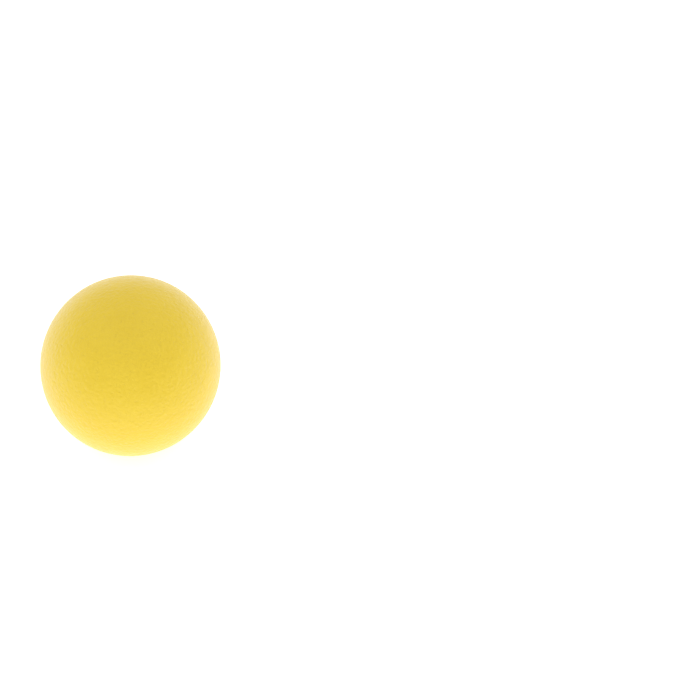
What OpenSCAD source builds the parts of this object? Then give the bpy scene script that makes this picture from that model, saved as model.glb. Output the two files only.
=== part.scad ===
// Foam dodgeball: a solid ball of soft foam inside a thin tough skin.
// The origin is the centre of the ball, +Z is up, and all lengths are in millimetres.

/* [Ball] */
// Diameter of the whole ball, over the skin
ball_d = 178; // [120:1:260]
// Diameter of the flat that the soft ball takes where it stands
flat_d = 24; // [10:1:40]

/* [Skin] */
// Thickness of the skin, the same all over
skin_t = 1; // [0.5:0.1:3]

/* [Hidden] */
$fn = 160;

// Radius of the ball over the skin, and of the foam inside it
ball_r = ball_d / 2;
core_r = ball_r - skin_t;

// Depth of each flat below the centre: the ball stands on the outer one
stand_depth = sqrt(ball_r ^ 2 - (flat_d / 2) ^ 2);
core_depth = stand_depth - skin_t;

// A ball that is pressed flat at the bottom, as its own weight does on a floor
module resting_ball(radius, depth) {
    difference() {
        sphere(r = radius);
        translate([-radius, -radius, -depth - radius])
            cube([2 * radius, 2 * radius, radius]);
    }
}

// The coloured skin, hollow for the foam
module skin() {
    color("gold")
        difference() {
            resting_ball(ball_r, stand_depth);
            resting_ball(core_r, core_depth);
        }
}

// The foam that fills the skin and is bonded to it all over
module foam_core() {
    color("khaki")
        resting_ball(core_r, core_depth);
}

skin();
foam_core();
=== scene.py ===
import math

import bpy
import numpy as np
from mathutils import Matrix, Vector, noise


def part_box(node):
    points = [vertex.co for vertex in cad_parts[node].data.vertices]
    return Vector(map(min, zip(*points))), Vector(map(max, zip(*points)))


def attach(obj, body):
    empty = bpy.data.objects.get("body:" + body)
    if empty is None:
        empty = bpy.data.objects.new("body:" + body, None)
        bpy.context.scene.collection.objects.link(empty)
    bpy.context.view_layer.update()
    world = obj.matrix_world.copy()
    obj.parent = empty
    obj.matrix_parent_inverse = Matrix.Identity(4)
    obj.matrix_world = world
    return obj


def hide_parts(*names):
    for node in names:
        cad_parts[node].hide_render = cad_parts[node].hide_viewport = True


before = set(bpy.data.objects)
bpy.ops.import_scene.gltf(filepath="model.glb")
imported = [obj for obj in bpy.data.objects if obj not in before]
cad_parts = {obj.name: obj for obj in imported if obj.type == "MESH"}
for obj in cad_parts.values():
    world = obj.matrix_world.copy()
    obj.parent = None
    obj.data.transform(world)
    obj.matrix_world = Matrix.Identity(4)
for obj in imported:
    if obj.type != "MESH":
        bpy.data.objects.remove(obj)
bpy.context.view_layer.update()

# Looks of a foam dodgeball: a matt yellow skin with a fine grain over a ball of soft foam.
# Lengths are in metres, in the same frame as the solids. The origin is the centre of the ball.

# Metres in a millimetre, and the alpha of a solid colour
MM = 0.001
OPAQUE = 1.0

# The ball, read from the frame
skin_low, skin_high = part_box("skin")
core_low, core_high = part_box("foam_core")
BALL_RADIUS = skin_high.z
FLOOR_Z = skin_low.z
CORE_RADIUS = core_high.z
CORE_FLOOR_Z = core_low.z

# The photograph's camera, found from the outlines of what stands in it
FRAME_PX = 680
FOCAL_PX = 1316.2
SENSOR_WIDTH = 36.0
PITCH_DOWN = math.radians(43.77)
ROLL = math.radians(5.31)
BALL_PX = Vector((131.4, 365.5))
BALL_DEPTH = 14.53 * BALL_RADIUS

# How finely each surface is divided: squares along one edge of a cube that is blown up to a ball
SKIN_CELLS = 120
LINING_CELLS = 40
CORE_CELLS = 72

# The ball is a little out of round: its left and right sides stand in from the true ball by this much
NARROWING = 1.4 * MM

# Relief of the skin's mesh, always inwards from the true ball: wide swells, and pebbles on them
SWELL_DEPTH = 0.22 * MM
SWELL_LENGTH = 70 * MM
SWELL_SEED = 3
PEBBLE_DEPTH = 0.12 * MM
PEBBLE_LENGTH = 5.5 * MM
PEBBLE_SEED = 7
PEBBLE_OCTAVES = 2

# The edge of the flat that the ball stands on is rounded by this much
FLAT_BLEND = 0.5 * MM

# Relief of the foam, which is cut through its open cells, and its distance from the skin. It is
# hollow where its noise is nearer to zero than the reach, and deepest where the noise is zero.
FOAM_GAP = 0.05 * MM
CELL_DEPTH = 0.25 * MM
CELL_LENGTH = 4.0 * MM
CELL_SEED = 11
CELL_OCTAVES = 2
CELL_REACH = 0.5

# How far one seed moves the mesh noise. Each octave of it is finer than the one before by the octave
# step, and weaker by that step to the power of the fade.
SEED_STEP = Vector((17.3, 5.9, 11.1))
OCTAVE_STEP = 2.0
OCTAVE_FADE = 1.0

# Grain of the skin, too fine for its mesh: the length and height of each kind of bump. The heights
# are added up in metres, and the bump takes the sum as it is.
HEIGHT_UNIT = 1.0
GRAIN_LENGTH = 3.4 * MM
GRAIN_HEIGHT = 1.0 * MM
GRAIN_OCTAVES = 3.0
GRAIN_HARSHNESS = 0.45
FINE_LENGTH = 0.9 * MM
FINE_HEIGHT = 0.10 * MM
FINE_OCTAVES = 2.0
DIMPLE_LENGTH = 2.8 * MM
DIMPLE_DEPTH = 0.28 * MM
PIT_LENGTH = 1.5 * MM
PIT_DEPTH = 0.10 * MM

# No two hollows are alike: the ranges of their radii, as shares of a cell, and of their depths, as
# shares of the deepest
HOLLOW_RADIUS_SHARES = (0.22, 0.52)
HOLLOW_DEPTH_SHARES = (0.15, 1.0)

# Most of what a noise texture gives lies between these values, and each finer octave of it has this
# share of the strength of the one before, where nothing else is said
NOISE_LOW = 0.3
NOISE_HIGH = 0.7
NOISE_HARSHNESS = 0.5

# Colours of the skin, linear, and how much each pattern moves it between them. The pit colour is painted
# shade with some dirt, laid into the dimples and pits.
YELLOW_DEEP = (0.735, 0.515, 0.008)
YELLOW_PALE = (0.775, 0.555, 0.020)
YELLOW_PIT_DIRT_AND_SHADE = (0.630, 0.425, 0.005)
MOTTLE_LENGTH = 34 * MM
MOTTLE_OCTAVES = 3.0
GRAIN_TINT_SHARE = 0.5
DIMPLE_DIRT_AND_SHADE_SHARE = 0.12
PIT_DIRT_AND_SHADE_SHARE = 0.12

# How the skin takes the light
SKIN_ROUGH_LOW = 0.43
SKIN_ROUGH_HIGH = 0.55
SKIN_IOR = 1.5
SHEEN_WEIGHT = 0.30
SHEEN_ROUGHNESS = 0.45

# Colours of the foam, linear, and its small and large cells. The cells are darkened with painted shade
# towards the foam shade colour where they are deepest.
FOAM_CREAM = (0.78, 0.70, 0.44)
FOAM_SHADE = (0.55, 0.46, 0.24)
FOAM_ROUGHNESS = 0.95
SMALL_CELL_LENGTH = 0.9 * MM
SMALL_CELL_HEIGHT = 0.6 * MM
LARGE_CELL_LENGTH = 2.3 * MM
LARGE_CELL_HEIGHT = 1.2 * MM
CELL_SHADE_LOW = 0.05
CELL_SHADE_HIGH = 0.35
TONE_LENGTH = 25 * MM
TONE_OCTAVES = 3.0
TONE_SHARE = 0.25

# The floor is a pale light table, under a white studio that is brighter overhead than at its walls.
# The studio is seen a little over white, so that it stays plain right up to the edge of a picture.
FLOOR_SIZE = 40.0
FLOOR_GREY = (0.90, 0.90, 0.90)
FLOOR_SEEN_GLOW = 0.62
FLOOR_GLOW = 0.90
SKY_LOW = 0.56
SKY_HIGH = 1.24
SKY_SEEN = 1.05
WHITE = (1.0, 1.0, 1.0)


# Meshes

def cube_sphere(cells):
    """Points of a unit ball made of six square patches, and its faces, which look outwards."""
    steps = np.arange(cells + 1)
    across, up = np.meshgrid(steps, steps, indexing="ij")
    patches = []
    quads = []
    first = 0
    for axis in range(3):
        for side in (0, cells):
            lattice = np.empty((cells + 1, cells + 1, 3), int)
            lattice[..., axis] = side
            lattice[..., (axis + 1) % 3] = across
            lattice[..., (axis + 2) % 3] = up
            index = first + np.arange((cells + 1) ** 2).reshape(cells + 1, cells + 1)
            ring = [index[:-1, :-1], index[1:, :-1], index[1:, 1:], index[:-1, 1:]]
            if side == 0:
                ring.reverse()
            patches.append(lattice.reshape(-1, 3))
            quads.append(np.stack([corner.ravel() for corner in ring], 1))
            first += (cells + 1) ** 2
    lattice, shared = np.unique(np.concatenate(patches), axis=0, return_inverse=True)
    faces = shared.ravel()[np.concatenate(quads)]
    # Steps of equal angle make the squares nearly alike on the ball
    points = np.tan((lattice / cells - 0.5) * (math.pi / 2))
    return points / np.linalg.norm(points, axis=1, keepdims=True), faces


def smooth_noise(points, length, seed, octaves=1):
    """Noise between about -1 and 1 at each point, whose lumps are about one length apart."""
    offset = seed * SEED_STEP
    scaled = [Vector(point) + offset for point in points / length]
    return np.array([noise.fractal(point, OCTAVE_FADE, OCTAVE_STEP, octaves) for point in scaled])


def round_points(directions, depth):
    """Points at a depth inside the true ball, along each direction, then drawn in at both sides."""
    points = directions * (BALL_RADIUS - depth)[:, None]
    points[:, 0] *= 1 - NARROWING / BALL_RADIUS
    return points


def press_flat(points, floor_z, blend):
    """Lifts what lies under the floor up to it, with a soft edge round the flat."""
    below = floor_z - points[:, 2]
    share = np.clip(0.5 + below / (2 * blend), 0, 1)
    lift = share * below + blend * share * (1 - share)
    pressed = points.copy()
    pressed[:, 2] += lift
    return pressed


def mesh_object(name, points, faces, material):
    """An object with this mesh, smooth shaded."""
    mesh = bpy.data.meshes.new(name)
    mesh.from_pydata(points.tolist(), [], faces.tolist())
    mesh.polygons.foreach_set("use_smooth", np.ones(len(faces), bool))
    mesh.materials.append(material)
    mesh.validate()
    mesh.update()
    made = bpy.data.objects.new(name, mesh)
    bpy.context.scene.collection.objects.link(made)
    return made


def skin_surface():
    """The outside of the skin: nearly round, finely pebbled, and pressed flat on the floor."""
    directions, faces = cube_sphere(SKIN_CELLS)
    ball = directions * BALL_RADIUS
    swell = smooth_noise(ball, SWELL_LENGTH, SWELL_SEED)
    pebble = smooth_noise(ball, PEBBLE_LENGTH, PEBBLE_SEED, PEBBLE_OCTAVES)
    swell_share = (1 - np.clip(swell, -1, 1)) / 2
    pebble_share = (1 - np.clip(pebble, -1, 1)) / 2
    points = round_points(directions, SWELL_DEPTH * swell_share + PEBBLE_DEPTH * pebble_share)
    return press_flat(points, FLOOR_Z, FLAT_BLEND), faces


def skin_lining():
    """The inside of the skin, where it is bonded to the foam. Its faces look inwards."""
    directions, faces = cube_sphere(LINING_CELLS)
    points = round_points(directions, np.full(len(directions), BALL_RADIUS - CORE_RADIUS))
    return press_flat(points, CORE_FLOOR_Z, FLAT_BLEND), faces[:, ::-1]


def make_skin(material):
    """The skin as one closed shell with its outside and its lining."""
    outer, outer_faces = skin_surface()
    inner, inner_faces = skin_lining()
    points = np.concatenate([outer, inner])
    faces = np.concatenate([outer_faces, inner_faces + len(outer)])
    return mesh_object("ball_skin", points, faces, material)


def make_core(material):
    """The foam ball inside the skin, with the open cells of its surface."""
    directions, faces = cube_sphere(CORE_CELLS)
    level = np.abs(smooth_noise(directions * CORE_RADIUS, CELL_LENGTH, CELL_SEED, CELL_OCTAVES))
    hollow_share = np.clip(1 - level / CELL_REACH, 0, 1)
    depth = BALL_RADIUS - CORE_RADIUS + FOAM_GAP + CELL_DEPTH * hollow_share
    points = press_flat(round_points(directions, depth), CORE_FLOOR_Z + FOAM_GAP, FLAT_BLEND)
    return mesh_object("ball_foam", points, faces, material)


# Materials

class Nodes:
    """A material's or world's node tree, with short ways to add nodes and join them."""

    def __init__(self, owner):
        owner.use_nodes = True
        self.tree = owner.node_tree
        self.tree.nodes.clear()

    def add(self, kind, settings=None, **inputs):
        """A new node. Each input is a number, a colour or the socket that feeds it."""
        node = self.tree.nodes.new(kind)
        for key, value in (settings or {}).items():
            setattr(node, key, value)
        for key, value in inputs.items():
            self.feed(self.find(node, key), value)
        return node

    def feed(self, socket, value):
        """Joins a socket to this one, or sets this one to a number or a colour."""
        if isinstance(value, bpy.types.NodeSocket):
            self.tree.links.new(value, socket)
        elif isinstance(value, tuple):
            socket.default_value = (*value, OPAQUE)
        else:
            socket.default_value = value

    @staticmethod
    def find(node, key):
        """The input with the key as its name, or i and a number for the input of that number."""
        if key[0] == "i" and key[1:].isdigit():
            return node.inputs[int(key[1:])]
        name = key.replace("_", " ")
        return next(socket for socket in node.inputs if socket.name.lower() == name and socket.enabled)

    def math(self, operation, a, b, clamp=False):
        """The result of one operation on two numbers."""
        settings = {"operation": operation, "use_clamp": clamp}
        return self.add("ShaderNodeMath", settings, i0=a, i1=b).outputs[0]

    def spread(self, value, low, high, to_low=0.0, to_high=1.0):
        """The value spread from one range to another, and held within it."""
        ranges = {"from_min": low, "from_max": high, "to_min": to_low, "to_max": to_high}
        return self.add("ShaderNodeMapRange", {"clamp": True}, value=value, **ranges).outputs[0]

    def mix(self, share, a, b):
        """A colour between two others."""
        node = self.add("ShaderNodeMix", {"data_type": "RGBA"}, factor=share, a=a, b=b)
        return next(socket for socket in node.outputs if socket.enabled)

    def seen(self):
        """1 for what the camera sees, straight or in gloss or glass, and 0 for what only gives light."""
        path = self.add("ShaderNodeLightPath").outputs
        seen = self.math("MAXIMUM", path["Is Camera Ray"], path["Is Glossy Ray"])
        return self.math("MAXIMUM", seen, path["Is Transmission Ray"])

    def noise(self, where, length, octaves, harshness=NOISE_HARSHNESS):
        """Noise whose lumps are about one length apart."""
        inputs = {"scale": 1 / length, "detail": octaves, "roughness": harshness}
        return self.add("ShaderNodeTexNoise", vector=where, **inputs).outputs[0]

    def cells(self, where, length):
        """Cells about one length across: the node that gives each its distance and its own colour."""
        return self.add("ShaderNodeTexVoronoi", vector=where, scale=1 / length)

    def hollows(self, where, length):
        """Round hollows, one to a cell and no two alike: 0 between them and up to 1 in the middle."""
        cell = self.cells(where, length)
        chance = self.add("ShaderNodeSeparateColor", color=cell.outputs["Color"]).outputs
        radius = self.spread(chance["Red"], 0.0, 1.0, *HOLLOW_RADIUS_SHARES)
        depth = self.spread(chance["Green"], 0.0, 1.0, *HOLLOW_DEPTH_SHARES)
        outwards = self.math("DIVIDE", cell.outputs["Distance"], radius)
        near = self.math("SUBTRACT", 1.0, outwards, clamp=True)
        smooth = self.add("ShaderNodeMapRange", {"interpolation_type": "SMOOTHSTEP"}, value=near)
        return self.math("MULTIPLY", smooth.outputs[0], depth)

    def bump(self, height, distance, under=None):
        """A surface direction bent by a height, on top of another."""
        inputs = {"height": height, "distance": distance}
        if under is not None:
            inputs["normal"] = under
        return self.add("ShaderNodeBump", **inputs).outputs[0]

    def plus(self, height, pattern, amount):
        """A height with an amount of a pattern added."""
        return self.math("ADD", height, self.math("MULTIPLY", pattern, amount))


def skin_material():
    """Matt coloured polyurethane with a fine irregular grain, small hollows darkened with painted shade
    and some dirt, and a faint mottle.
    """
    material = bpy.data.materials.new("yellow_skin")
    n = Nodes(material)
    where = n.add("ShaderNodeTexCoord").outputs["Object"]
    mottle = n.noise(where, MOTTLE_LENGTH, MOTTLE_OCTAVES)
    grain = n.noise(where, GRAIN_LENGTH, GRAIN_OCTAVES, GRAIN_HARSHNESS)
    fine = n.noise(where, FINE_LENGTH, FINE_OCTAVES)
    dimples = n.hollows(where, DIMPLE_LENGTH)
    pits = n.hollows(where, PIT_LENGTH)
    mottled = n.mix(n.spread(mottle, NOISE_LOW, NOISE_HIGH), YELLOW_DEEP, YELLOW_PALE)
    grained = n.mix(n.spread(grain, NOISE_LOW, NOISE_HIGH), YELLOW_DEEP, YELLOW_PALE)
    base = n.mix(GRAIN_TINT_SHARE, mottled, grained)
    # Painted shade with some dirt: the dimples and pits are darkened towards the pit colour
    base = n.mix(n.math("MULTIPLY", dimples, DIMPLE_DIRT_AND_SHADE_SHARE), base, YELLOW_PIT_DIRT_AND_SHADE)
    base = n.mix(n.math("MULTIPLY", pits, PIT_DIRT_AND_SHADE_SHARE), base, YELLOW_PIT_DIRT_AND_SHADE)
    rough = n.spread(grain, NOISE_LOW, NOISE_HIGH, SKIN_ROUGH_LOW, SKIN_ROUGH_HIGH)
    height = n.math("MULTIPLY", grain, GRAIN_HEIGHT)
    height = n.plus(height, fine, FINE_HEIGHT)
    height = n.plus(height, dimples, -DIMPLE_DEPTH)
    height = n.plus(height, pits, -PIT_DEPTH)
    light = {"roughness": rough, "ior": SKIN_IOR, "normal": n.bump(height, HEIGHT_UNIT)}
    sheen = {"sheen_weight": SHEEN_WEIGHT, "sheen_roughness": SHEEN_ROUGHNESS}
    shader = n.add("ShaderNodeBsdfPrincipled", base_color=base, **light, **sheen)
    n.add("ShaderNodeOutputMaterial", surface=shader.outputs[0])
    return material


def foam_material():
    """Pale open-cell polyurethane foam, with painted shade in its cells."""
    material = bpy.data.materials.new("pale_foam")
    n = Nodes(material)
    where = n.add("ShaderNodeTexCoord").outputs["Object"]
    small = n.cells(where, SMALL_CELL_LENGTH).outputs["Distance"]
    large = n.cells(where, LARGE_CELL_LENGTH).outputs["Distance"]
    tone = n.noise(where, TONE_LENGTH, TONE_OCTAVES)
    # Painted shade: darker in the middles of the small and large cells, where the bump is deepest
    shade = n.spread(n.math("MULTIPLY", small, large), CELL_SHADE_LOW, CELL_SHADE_HIGH)
    base = n.mix(shade, FOAM_SHADE, FOAM_CREAM)
    base = n.mix(n.spread(tone, NOISE_LOW, NOISE_HIGH, 0.0, TONE_SHARE), base, FOAM_CREAM)
    normal = n.bump(small, SMALL_CELL_HEIGHT)
    normal = n.bump(large, LARGE_CELL_HEIGHT, normal)
    look = {"base_color": base, "normal": normal, "roughness": FOAM_ROUGHNESS}
    shader = n.add("ShaderNodeBsdfPrincipled", **look)
    n.add("ShaderNodeOutputMaterial", surface=shader.outputs[0])
    return material


# Stage, light and camera

def floor_material():
    """A pale floor, lit from within like a light table, that keeps a faint shadow."""
    material = bpy.data.materials.new("pale_floor")
    n = Nodes(material)
    glow = n.spread(n.seen(), 0.0, 1.0, FLOOR_GLOW, FLOOR_SEEN_GLOW)
    matt = n.add("ShaderNodeBsdfDiffuse", color=FLOOR_GREY)
    light = n.add("ShaderNodeEmission", color=WHITE, strength=glow)
    both = n.add("ShaderNodeAddShader", i0=matt.outputs[0], i1=light.outputs[0])
    n.add("ShaderNodeOutputMaterial", surface=both.outputs[0])
    return material


def make_floor():
    """The floor that the ball stands on."""
    half = FLOOR_SIZE / 2
    corners = [(-half, -half), (half, -half), (half, half), (-half, half)]
    points = np.array([(x, y, FLOOR_Z) for x, y in corners])
    floor = mesh_object("floor", points, np.array([[0, 1, 2, 3]]), floor_material())


def make_world():
    """A soft white studio round the ball, which the camera sees as plain white."""
    world = bpy.data.worlds.new("studio")
    bpy.context.scene.world = world
    n = Nodes(world)
    direction = n.add("ShaderNodeTexCoord").outputs["Generated"]
    height = n.add("ShaderNodeSeparateXYZ", vector=direction).outputs["Z"]
    light = n.spread(height, 0.0, 1.0, SKY_LOW, SKY_HIGH)
    strength = n.add("ShaderNodeMix", factor=n.seen(), a=light, b=SKY_SEEN).outputs[0]
    sky = n.add("ShaderNodeBackground", color=WHITE, strength=strength)
    n.add("ShaderNodeOutputWorld", surface=sky.outputs[0])


def make_camera():
    """The photograph's camera, placed so that the ball lands where it is in the photograph."""
    data = bpy.data.cameras.new("camera")
    data.sensor_width = SENSOR_WIDTH
    data.lens = FOCAL_PX / FRAME_PX * SENSOR_WIDTH
    camera = bpy.data.objects.new("camera", data)
    forward = Vector((0, math.cos(PITCH_DOWN), -math.sin(PITCH_DOWN)))
    level_up = Vector((0, math.sin(PITCH_DOWN), math.cos(PITCH_DOWN)))
    level_right = Vector((1, 0, 0))
    up = math.cos(ROLL) * level_up - math.sin(ROLL) * level_right
    right = math.cos(ROLL) * level_right + math.sin(ROLL) * level_up
    middle = Vector((FRAME_PX / 2, FRAME_PX / 2))
    offset = (BALL_PX - middle) * (BALL_DEPTH / FOCAL_PX)
    place = -(offset.x * right - offset.y * up + BALL_DEPTH * forward)
    turn = Matrix((right, up, -forward)).transposed().to_4x4()
    camera.matrix_world = Matrix.Translation(place) @ turn
    bpy.context.scene.collection.objects.link(camera)
    bpy.context.scene.camera = camera


# The scene

bpy.context.scene.view_settings.view_transform = "Standard"
make_camera()
make_world()
make_floor()

skin = make_skin(skin_material())
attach(skin, "root")
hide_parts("skin")

core = make_core(foam_material())
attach(core, "root")
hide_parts("foam_core")
